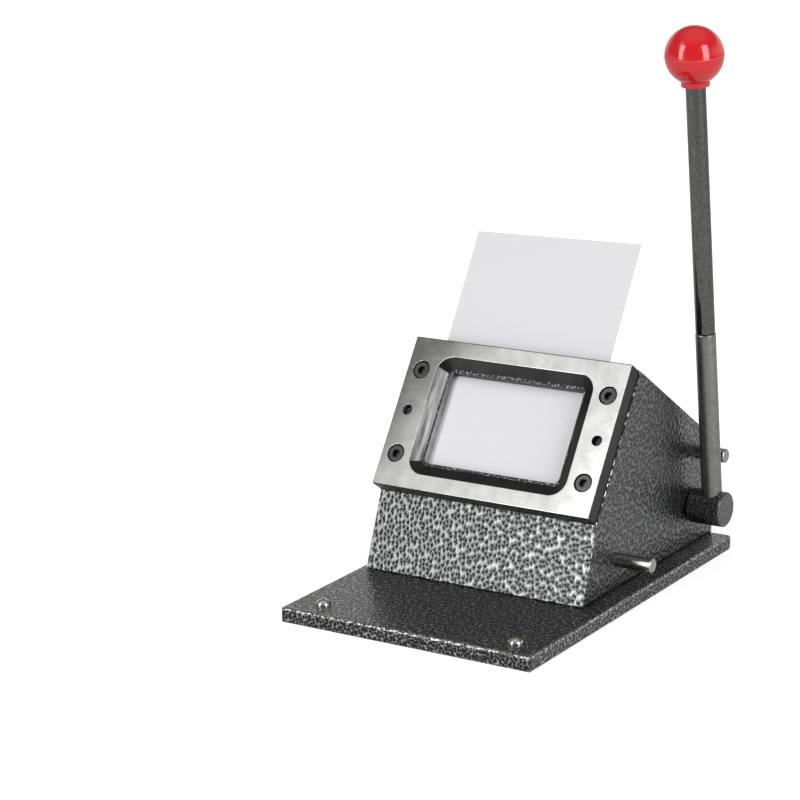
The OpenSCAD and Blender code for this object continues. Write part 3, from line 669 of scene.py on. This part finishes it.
# Tool steel blackened by its hardening heat, on the plate's edges. The eye sees a matte, nearly black
# frame round the bright face.
blackened = steel("blackened_steel", "#2e2e2f", "#242425", 0.42, 0.8 * MM, cloud=9 * MM, metallic=0.6)

# Tool steel milled from side to side, in the funnel, coloured charcoal, darker than the pale copy on
# the funnel's left side. The eye sees charcoal with long, faint lines.
milled = steel(
    "milled_funnel_steel", "#363636", "#252526", 0.38, 0.35 * MM, (0.05, 1, 1), 0.010 * MM, metallic=0.9
)

# Tool steel milled up and down with a worn cutter, on the funnel's left side, coloured pale as a
# painted lit side beside the darker funnel. The eye sees pale and dark bands that run along it.
banded_lit = steel(
    "banded_funnel_steel_lit",
    "#d8d8d8",
    "#3c3c3d",
    0.55,
    0.9 * MM,
    (1, 0.06, 0.06),
    0.03 * MM,
    cloud=1.6 * MM,
    streaked=True,
)

# Hot-rolled steel sheet with its mill scale on, for the shim, coloured near black, which also paints
# the shade in the slot. The eye sees dull black, so that the slot reads as a dark line.
scale_and_shade_steel = steel(
    "mill_scale_and_shade_steel", "#1c1c1d", "#121213", 0.5, 0.6 * MM, cloud=6 * MM, metallic=0.5
)
print("five finishes for the die plate and its shim")

# %% Steels of the lever and the works
# Tool steel, milled, for the punch, the cam and the plates round them. The eye sees an even satin
# grey.
tool = steel("tool_steel", "#9b9b9b", "#838384", 0.36, 0.4 * MM, (0.1, 1, 1))

# Bright drawn steel, for pins, posts, the shaft and the springs. The eye sees a pale, smooth skin
# whose reflections are a little soft.
pin_steel = steel(
    "bright_pin_steel", "#a6a6a4", "#9a9a98", 0.26, 0.3 * MM, (0.2, 1, 1), 0.0006 * MM
)

# Drawn steel bar, darkened and polished lengthwise, for the rod. The eye sees sharp, narrow
# reflections with small dull specks.
rod_steel = steel(
    "polished_dark_rod", "#70716f", "#4a4b49", 0.12, 0.30 * MM, (1, 1, 0.3), 0.002 * MM, cloud=1.2 * MM
)

# Mild steel, turned and then rubbed down lengthwise with emery cloth, for the stub below the rod. The
# eye sees a soft, matte grey with a broad highlight.
stub_steel = steel(
    "turned_grey_steel", "#8c8c8a", "#767674", 0.36, 0.30 * MM, (1, 1, 0.25), 0.008 * MM, cloud=3 * MM
)

# Nickel plate on polished steel, for the dome-headed screws. The eye sees a warm white with small,
# bright glints.
nickel = steel("nickel_plate", "#cfcbc2", "#b9b5ac", 0.20, 0.3 * MM, grain_depth=0.001 * MM)

# Black oxide on steel, for the socket screws and the retaining ring. The eye sees an oiled black with
# a faint grey sheen.
oxide = steel(
    "black_oxide_steel", "#4c4c4e", "#38383a", 0.36, 0.4 * MM, grain_depth=0.002 * MM, metallic=0.8
)

# Bearing bronze, machined, for the shaft's bushes and thrust washer. The eye sees rings of brown gold.
bronze = steel("machined_bronze", "#b58b52", "#94703f", 0.32, 0.3 * MM, grain_depth=0.002 * MM)
print("seven finishes for the lever and the works")

# %% [markdown]
# ## Plastics
# The ball is phenolic, pressed hot in a polished mould, and the sheet is PVC, rolled between matte
# rollers. Both have one colour right through. Subsurface light could be added, but these are filled,
# opaque plastics, and the Principled shader's base colour under a clear skin of the plastic's own
# index of refraction already looks like them. A faint ripple keeps the reflections alive.

# %% Plastics
RIPPLE_ROUGHNESS = 0.03


def plastic(name, colour, roughness, ior, ripple, ripple_depth):
    """ripple is the length of the waves left in the skin"""
    material, tree, output = new_material(name)
    spot = add(tree, "TexCoord").outputs["Object"]
    waves = add(tree, "TexNoise", {"Vector": spot, "Scale": 1 / ripple, "Detail": 2.0}).outputs["Fac"]
    skin = add(tree, "Bump", {"Height": waves, "Distance": ripple_depth}).outputs[0]
    rough = {"Value": waves, "From Min": MARKS[0], "From Max": MARKS[1]}
    rough = {**rough, "To Min": roughness - RIPPLE_ROUGHNESS, "To Max": roughness + RIPPLE_ROUGHNESS}
    rough = add(tree, "MapRange", rough).outputs["Result"]
    surface = {"Base Color": ink(colour), "Roughness": rough, "IOR": ior, "Normal": skin}
    shader = add(tree, "BsdfPrincipled", surface)
    tree.links.new(shader.outputs[0], output.inputs["Surface"])
    return material


# Phenolic, moulded in a polished mould. The eye sees a deep, saturated red with crisp highlights, like
# windows. The waves in its skin are drawn 6 mm long.
red_plastic = plastic("red_phenolic", "#cf151f", 0.13, 1.57, 6 * MM, 0.003 * MM)

# Phenolic at the mould's seam, scraped level, so duller, and coloured paler, a painted highlight
# where the raised seam catches the light. The eye sees a thin, duller and paler line round the ball.
seam_plastic_highlight = plastic("phenolic_moulding_seam_highlight", "#de525b", 0.45, 1.57, 2 * MM, 0.003 * MM)

# Rigid PVC sheet, rolled flat between matte rollers. The eye sees a plain white with a soft, satin
# skin. Card stock hardly ripples, so its waves are long and low.
pvc = plastic("white_pvc", "#dadadc", 0.38, 1.53, 25 * MM, 0.01 * MM)
print("three plastics")

# %% [markdown]
# ## The hidden works
# The punch, ram, cam and shaft sit inside the housing and are seen only from odd angles, if at all.
# They could be left plain, but the model may be taken apart by whoever uses it. So most keep their
# CAD shape, and each gets the finish of its kind of part, from a list by material slot.

# %% Finishes for every piece
finish_of_slot = {
    "paint": enamel,
    "ground_steel": ground,
    "tool_steel": tool,
    "bright_steel": pin_steel,
    "polished_rod": rod_steel,
    "lever_steel": stub_steel,
    "nickel_screws": nickel,
    "black_screws": oxide,
    "knob_plastic": red_plastic,
    "sheet_plastic": pvc,
    "bronze": bronze,
}
for node, piece in nodes.items():
    dress(piece, finish_of_slot[slot_of_node[node]])
print(len(nodes), "pieces have a finish")

# %% [markdown]
# ## Housing
# The real housing is welded from thick plates, ground flush and painted as one. Four separate meshes
# would show hairlines where they meet, so the plates are joined into one mesh with a Boolean union,
# and only the outer edges are rounded, as the paint does. The foot gets the largest rounding, which
# leaves a dark groove on the base plate, and the corner beside the die plate gets the chips, whose
# white specks are also a painted highlight.

# %% One mesh out of four plates
LEAN = math.radians(34)
PLATE_OUT = Vector((0, -math.cos(LEAN), math.sin(LEAN)))
HOUSE_NODES = ["left_wall", "right_wall", "front_wall", "roof_plate"]
ENAMELLED, CHIPPED_HIGHLIGHT = range(2)


def combine(piece, other, operation):
    """An exact Boolean of two solids, which uses the second one up"""
    step = piece.modifiers.new("combine", "BOOLEAN")
    step.operation = operation
    step.solver = "EXACT"
    step.object = other
    apply_modifiers(piece)
    bpy.data.objects.remove(other)


house = take_copy(HOUSE_NODES[0])
for node in HOUSE_NODES[1:]:
    combine(house, take_copy(node), "UNION")
clean(house)
for material in (enamel, chips_and_highlight):
    house.data.materials.append(material)
print("housing:", len(house.data.polygons), "whole faces")

# %% Housing's rounded edges
CORNER_REACH = 0.8 * MM
FOOT_REACH = 2 * MM  # the other edges start this far above the foot
LEVEL = 0.1 * MM
SHORTEST = 3 * MM  # the small steps where plates meet stay as they are
points = [v.co.copy() for v in house.data.vertices]
right_face = max(p.x for p in points)
slope = max(p.dot(PLATE_OUT) for p in points)
foot = min(p.z for p in points)
foot_front = min(p.y for p in points if p.z - foot < LEVEL)
foot_back = max(p.y for p in points if p.z - foot < LEVEL)


def on_plate_corner(point):
    """True on the sloping corner beside the die plate, where sheets and hands wear the paint, and
    where the chips also paint a broken highlight
    """
    return right_face - point.x < CORNER_REACH and slope - point.dot(PLATE_OUT) < CORNER_REACH


def on_foot(point):
    """True on the outer bottom edges"""
    outer = min(right_face - abs(point.x), point.y - foot_front, foot_back - point.y) < 2 * LEVEL
    return point.z - foot < LEVEL and outer


def on_other_edges(point):
    return not on_plate_corner(point) and point.z - foot > FOOT_REACH


# The corner's rounding takes the chips, whose white specks paint a broken highlight
round_edges(house, 0.6 * MM, 2, SHARP_ANGLE, CHIPPED_HIGHLIGHT, on_plate_corner, SHORTEST)
round_edges(house, 1.3 * MM, 3, SHARP_ANGLE, ENAMELLED, on_foot, SHORTEST)
round_edges(house, 0.7 * MM, 3, 50, ENAMELLED, on_other_edges, SHORTEST)
smooth(house)
place(house, "housing", HOUSE_NODES)
print("housing:", len(house.data.polygons), "faces after rounding")

# %% [markdown]
# ## Base plate, rear cover and boss
# The base is a sawn steel plate with a bevel filed round its top, painted with the same hammertone.
# The bevel's edges could be rounded all alike, but a rounding chosen by place gives the top edges
# a brighter copy of the enamel, a painted highlight, and keeps the screw holes sharp. The rear cover
# and the lever's boss are simpler, and get one rounding each.

# %% Base plate, rear cover and boss
CHAMFER = 1.3 * MM
EDGE_HIGHLIGHT_COAT = 1  # the second of the base plate's two finishes
base_low, base_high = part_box("base_plate")


def is_outer(point, margin):
    """True for a point near the base plate's outline, and false at its screw holes"""
    return any(min(point[i] - base_low[i], base_high[i] - point[i]) < margin for i in (0, 1))


def on_bevel(point):
    return base_high[2] - point.z < CHAMFER and is_outer(point, CHAMFER)


def on_lower_edges(point):
    return base_high[2] - point.z > CHAMFER and is_outer(point, LEVEL)


base = take_copy("base_plate")
clean(base)
for material in (base_enamel, edge_highlight_enamel):
    base.data.materials.append(material)
# The bevel's rounding gets the brighter enamel, a painted highlight along the top edges
round_edges(base, 0.6 * MM, 4, SHARP_ANGLE, EDGE_HIGHLIGHT_COAT, on_bevel)
round_edges(base, 0.4 * MM, 2, 40, -1, on_lower_edges)
smooth(base)
place(base, "base_plate_finished", ["base_plate"])
dress(softened("rear_cover", 0.5 * MM, 3), enamel)
dress(softened("lever_boss", 0.5 * MM, 3), boss_enamel)
print("base plate:", [round((base_high[i] - base_low[i]) / MM) for i in range(3)], "mm")

# %% [markdown]
# ## Die plate
# The plate is ground bright on its face, while its edges keep their dark skin. A funnel is milled into
# it round the window, so that a card can be lifted out, and the window's edge does the cutting. Four
# objects could carry these finishes, but the real plate is one piece. So the finish is chosen face by
# face, from where each face points and how deep it lies. The funnel's left side, which faces the
# light, gets a pale copy of the funnel's steel, a painted lit side. The cutting edge gets a thin strip
# of its own, which a plane slices off the funnel, and whose pale nicks paint glints.

# %% Die plate's finishes
GROUND, MILLED, BLACKENED, BANDED_LIT, NICKED_GLINTS = range(5)
FUNNEL_DEPTH = 4 * MM
FACE_DEPTH = 0.4 * MM
FACES_OUT = 0.9
UPRIGHT = 0.05  # a face that stands this straight up from the plate is an edge or a wall
FACES_RIGHT = 0.5


def finish_die(piece):
    """Chooses each face's finish. What faces right in the left half is banded and painted lit: the
    left side of the funnel and of the window, which the camera sees"""
    for material in (ground, milled, blackened, banded_lit, nicks_and_glints):
        piece.data.materials.append(material)
    for face in piece.data.polygons:
        facing = face.normal.dot(PLATE_OUT)
        deep = plate_front - face.center.dot(PLATE_OUT)
        if facing > FACES_OUT and deep < FACE_DEPTH:
            face.material_index = GROUND
        elif face.normal.x > FACES_RIGHT and face.center.x < 0:
            face.material_index = BANDED_LIT
        elif abs(facing) < UPRIGHT:
            face.material_index = BLACKENED
        else:
            face.material_index = MILLED


die = take_copy("die_plate")
clean(die)
plate_front = max(v.co.dot(PLATE_OUT) for v in die.data.vertices)
finish_die(die)
print("die plate:", len(die.data.polygons), "faces have a finish")

# %% Die plate's edges
EDGE_WIDTH = 0.22 * MM
NEAR_FACE = 0.5 * MM  # edges this near the face take its bright finish when they are rounded
BELOW_FACE = 1 * MM  # and edges deeper than this keep their own


def on_face_edges(point):
    return plate_front - point.dot(PLATE_OUT) < NEAR_FACE


def on_deep_edges(point):
    return plate_front - point.dot(PLATE_OUT) > BELOW_FACE


def nick_and_glint_rim(piece, width):
    """Cuts a strip, width deep, off the funnel's faces along the window, and gives it the nicks,
    whose pale specks paint the rim's glints
    """
    bm = bmesh.new()
    bm.from_mesh(piece.data)
    funnel = [f for f in bm.faces if f.material_index in (MILLED, BANDED_LIT)]
    around = list({e for f in funnel for e in f.edges}) + list({v for f in funnel for v in f.verts})
    line = PLATE_OUT * (plate_front - FUNNEL_DEPTH + width)
    bmesh.ops.bisect_plane(
        bm, geom=funnel + around, plane_co=line, plane_no=PLATE_OUT, dist=0.001 * MM
    )
    for face in bm.faces:
        deep = plate_front - face.calc_center_median().dot(PLATE_OUT)
        if face.material_index in (MILLED, BANDED_LIT) and FUNNEL_DEPTH - width < deep < FUNNEL_DEPTH:
            face.material_index = NICKED_GLINTS
    bm.to_mesh(piece.data)
    bm.free()


round_edges(die, 0.12 * MM, 2, 20, GROUND, on_face_edges)
round_edges(die, 0.15 * MM, 2, SHARP_ANGLE, -1, on_deep_edges)
# The strip along the window's rim takes the nicks, whose pale specks paint glints
nick_and_glint_rim(die, EDGE_WIDTH)
smooth(die)
place(die, "die_plate_finished", ["die_plate"])
nicked_glint_faces = sum(face.material_index == NICKED_GLINTS for face in die.data.polygons)
print("cutting edge:", nicked_glint_faces, "faces", round(EDGE_WIDTH / MM, 2), "mm wide")

# %% [markdown]
# ## Dome-headed screws
# Two nickel-plated screws stand on the base near its front corners. Their heads are turned on a lathe,
# and the cross is pressed in. The same two steps work here: a profile is swept about an axis, and a
# tapered bar is cut out of it twice with an exact Boolean. A dome from a UV sphere would be quicker,
# but it has no rim and no shank.

# %% Lathe and cross
DOME_RIM = 0.35 * MM
DOME_STEPS = 15
CROSS_LENGTH = 3.4 * MM
CROSS_WIDTH = 0.75 * MM
CROSS_DEPTH = 0.9 * MM
CROSS_TAPER = 0.6
CROSS_TURN = math.radians(20)


def lathe(name, profile, steps=64):
    """A closed solid turned about the z axis from (radius, height) points that start and end on it"""
    bm = bmesh.new()
    rings = []
    for radius, height in profile:
        turns = [2 * math.pi * k / steps for k in range(steps)] if radius > 0 else [0]
        ring = [(radius * math.cos(t), radius * math.sin(t), height) for t in turns]
        rings.append([bm.verts.new(point) for point in ring])
    for lower, upper in zip(rings, rings[1:]):
        for k in range(steps):
            corners = [lower[k % len(lower)], lower[(k + 1) % len(lower)]]
            corners += [upper[(k + 1) % len(upper)], upper[k % len(upper)]]
            bm.faces.new(list(dict.fromkeys(corners)))
    bmesh.ops.recalc_face_normals(bm, faces=bm.faces)
    return as_object(bm, name)


def as_object(bm, name):
    mesh = bpy.data.meshes.new(name)
    bm.to_mesh(mesh)
    bm.free()
    piece = bpy.data.objects.new(name, mesh)
    scene.collection.objects.link(piece)
    return piece


def cross_bar(head_height, turn):
    """One bar of the cross, narrower at its bottom and twice as tall as the recess is deep"""
    bm = bmesh.new()
    bmesh.ops.create_cube(bm, size=1)
    for vertex in bm.verts:
        shrink = CROSS_TAPER if vertex.co.z < 0 else 1.0
        vertex.co.x *= CROSS_LENGTH * shrink
        vertex.co.y *= CROSS_WIDTH * shrink
        vertex.co.z = head_height + (vertex.co.z + 0.5) * 2 * CROSS_DEPTH - CROSS_DEPTH
    bmesh.ops.rotate(bm, verts=bm.verts, matrix=Matrix.Rotation(turn, 3, "Z"))
    return as_object(bm, "cross_bar")


print("cross recess", CROSS_LENGTH / MM, "mm across")

# %% Dome-headed screws
SHANK_RADIUS = 2 * MM


def dome_screw(name, spot, head_radius, head_height, length):
    """A screw whose head is a low dome on a thin rim, with a cross recess"""
    dome = head_height - DOME_RIM
    turns = [math.radians(90 * (1 - k / DOME_STEPS)) for k in range(DOME_STEPS + 1)]
    profile = [(head_radius * math.cos(t), DOME_RIM + dome * math.sin(t)) for t in turns]
    profile[0] = (0, head_height)
    profile += [(head_radius, 0), (SHANK_RADIUS, 0), (SHANK_RADIUS, -length), (0, -length)]
    screw = lathe(name, profile)
    for quarter in (0, 1):
        bar = cross_bar(head_height, CROSS_TURN + quarter * math.pi / 2)
        combine(screw, bar, "DIFFERENCE")
    screw.location = spot
    smooth(screw)
    return screw


screws_low, screws_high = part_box("front_screws")
head_radius = (screws_high[1] - screws_low[1]) / 2
head_height = screws_high[2] - base_high[2]
shank_length = base_high[2] - screws_low[2]
middle_y = (screws_low[1] + screws_high[1]) / 2
screw_places = {
    "front_screw_left": screws_low[0] + head_radius,
    "front_screw_right": screws_high[0] - head_radius,
}
for name, x in screw_places.items():
    screw = dome_screw(name, (x, middle_y, base_high[2]), head_radius, head_height, shank_length)
    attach(screw, "root")
    dress(screw, nickel)
    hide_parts("front_screws")
print("front screw heads:", round(2 * head_radius / MM, 2), "mm wide")

# %% [markdown]
# ## Return springs
# Four springs stand on the guide posts and push the ram back when the lever is let go. In the CAD
# model each fills a sleeve. Here each is wound as one wire, whose first and last turns lie close, as
# on a real compression spring. A Screw modifier could wind it with an even pitch, but a formula also
# closes the ends. The real springs flatten towards the guide plate as the ram comes forward; these
# keep their shape at rest.

# %% Where the springs stand


def separate_solids(node):
    """The points of each separate solid of a CAD node"""
    bm = bmesh.new()
    bm.from_mesh(nodes[node].data)
    bmesh.ops.remove_doubles(bm, verts=bm.verts, dist=SAME_POINT)
    seen = set()
    groups = []
    for seed in bm.verts:
        if seed in seen:
            continue
        seen.add(seed)
        group = [seed]
        for vertex in group:
            near = [edge.other_vert(vertex) for edge in vertex.link_edges]
            group += [v for v in near if v not in seen]
            seen.update(near)
        groups.append([v.co.copy() for v in group])
    bm.free()
    return groups


sleeves = separate_solids("return_springs")
print(len(sleeves), "sleeves for springs")

# %% Wind one spring
SPRING_TURNS = 8
STEPS_A_TURN = 24
WIRE_SIDES = 8
CLOSED_PITCH = 1.04  # times the wire's thickness, in the two end turns


def wind(bm, middle, length, inner, outer):
    """One wire wound about the ram's stroke, from the guide plate at middle back to the ram"""
    wire = (outer - inner) / 2
    mean = (outer + inner) / 2
    pitch = 2 * wire * CLOSED_PITCH
    across = Vector((1, 0, 0))
    upward = PLATE_OUT.cross(across)
    rings = []
    for step in range(SPRING_TURNS * STEPS_A_TURN + 1):
        turn = step / STEPS_A_TURN
        open_share = min(max((turn - 1) / (SPRING_TURNS - 2), 0), 1)
        closed_turns = min(turn, 1) + max(turn - SPRING_TURNS + 1, 0)
        along = wire + pitch * closed_turns + open_share * (length - 2 * wire - 2 * pitch)
        angle = 2 * math.pi * turn
        outward = across * math.cos(angle) + upward * math.sin(angle)
        centre = middle - PLATE_OUT * along + outward * mean
        sides = [2 * math.pi * k / WIRE_SIDES for k in range(WIRE_SIDES)]
        ring = [centre + wire * (outward * math.cos(t) + PLATE_OUT * math.sin(t)) for t in sides]
        rings.append([bm.verts.new(point) for point in ring])
    for near, far in zip(rings, rings[1:]):
        for k in range(WIRE_SIDES):
            after = (k + 1) % WIRE_SIDES
            bm.faces.new((near[k], near[after], far[after], far[k]))
    bm.faces.new(rings[0])
    bm.faces.new(rings[-1])


print(SPRING_TURNS, "turns each, the first and last of them closed")

# %% Return springs
bm = bmesh.new()
for points in sleeves:
    front = max(p.dot(PLATE_OUT) for p in points)
    length = front - min(p.dot(PLATE_OUT) for p in points)
    centre = sum(points, Vector()) / len(points)
    middle = centre + PLATE_OUT * (front - centre.dot(PLATE_OUT))
    spread = [(p - middle).cross(PLATE_OUT).length for p in points]
    wind(bm, middle, length, min(spread), max(spread))
bmesh.ops.recalc_face_normals(bm, faces=bm.faces)
springs = as_object(bm, "return_springs_wound")
smooth(springs, 50)
place(springs, "return_springs_wound", ["return_springs"])
dress(springs, finish_of_slot[slot_of_node["return_springs"]])
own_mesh(springs)

# %% [markdown]
# ## Small metal pieces and the sheet
# Most of these are plain turned parts: pins, washers, the shaft and the lever's two lengths. Each has
# a tiny bevel or a broken edge. Every one could get a cell of its own, but they differ only in how
# much is broken, so a list of pieces and radii is enough, from 0.04 mm on the thin card to 0.35 mm on
# the lever's stub. The dowel pins, the socket screws and the shim have finishes of their own.

# %% Small metal pieces and the sheet
ROUNDINGS_MM = {
    "cover_screws": 0.15,
    "rear_stop_pin": 0.12,
    "front_stop_pin": 0.12,
    "main_shaft": 0.12,
    "thrust_washer": 0.1,
    "retaining_ring": 0.1,
    "guide_plate": 0.2,
    "pvc_sheet": 0.08,
    "card_blank": 0.04,
    "lever_stub": 0.35,
    "lever_rod": 0.1,
}
for node, radius in ROUNDINGS_MM.items():
    dress(softened(node, radius * MM), finish_of_slot[slot_of_node[node]])

dress(nodes["dowel_pins"], blackened)
dress(softened("die_plate_screws", 0.5 * MM, 3, 40), oxide)
# The shim's near-black finish also paints the shade in the slot
dress(softened("slot_shim", 0.08 * MM), scale_and_shade_steel)
print(len(ROUNDINGS_MM) + 2, "small pieces rounded")

# %% [markdown]
# ## Ball
# The red ball is moulded in two halves, which leaves a thin raised seam round its middle, and it ends
# in a short collar. Both are in its shape already. Only their edges are rounded, because the ball
# itself is smooth, and a Bevel with an angle limit of 40 degrees leaves the ball's own facets alone.
# The seam is only a third of a millimetre wide. To find its faces, no list of numbers is needed: they
# are the ones that stand just out of the round.

# %% Ball
SEAM_OUT = 0.12 * MM


def mark_seam(piece, node):
    """Gives the faces that stand out of the ball's round the seam's duller, paler finish; its
    paleness is a painted highlight on the raised seam
    """
    low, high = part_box(node)
    radius = (high[0] - low[0]) / 2 - SEAM_OUT
    centre = Vector(((low[0] + high[0]) / 2, (low[1] + high[1]) / 2, high[2] - radius))
    piece.data.materials.append(seam_plastic_highlight)
    marked = 0
    for face in piece.data.polygons:
        # 0 on the ball's round, 1 on the seam, and more on the collar
        out = ((face.center - centre).length - radius) / SEAM_OUT
        if 0.5 < out < 1.5:
            face.material_index = 1
            marked += 1
    print("seam:", marked, "faces round a ball", round(2 * radius / MM, 1), "mm wide")


ball = dress(softened("ball_knob", 0.08 * MM, 2, 40), red_plastic)
mark_seam(ball, "ball_knob")
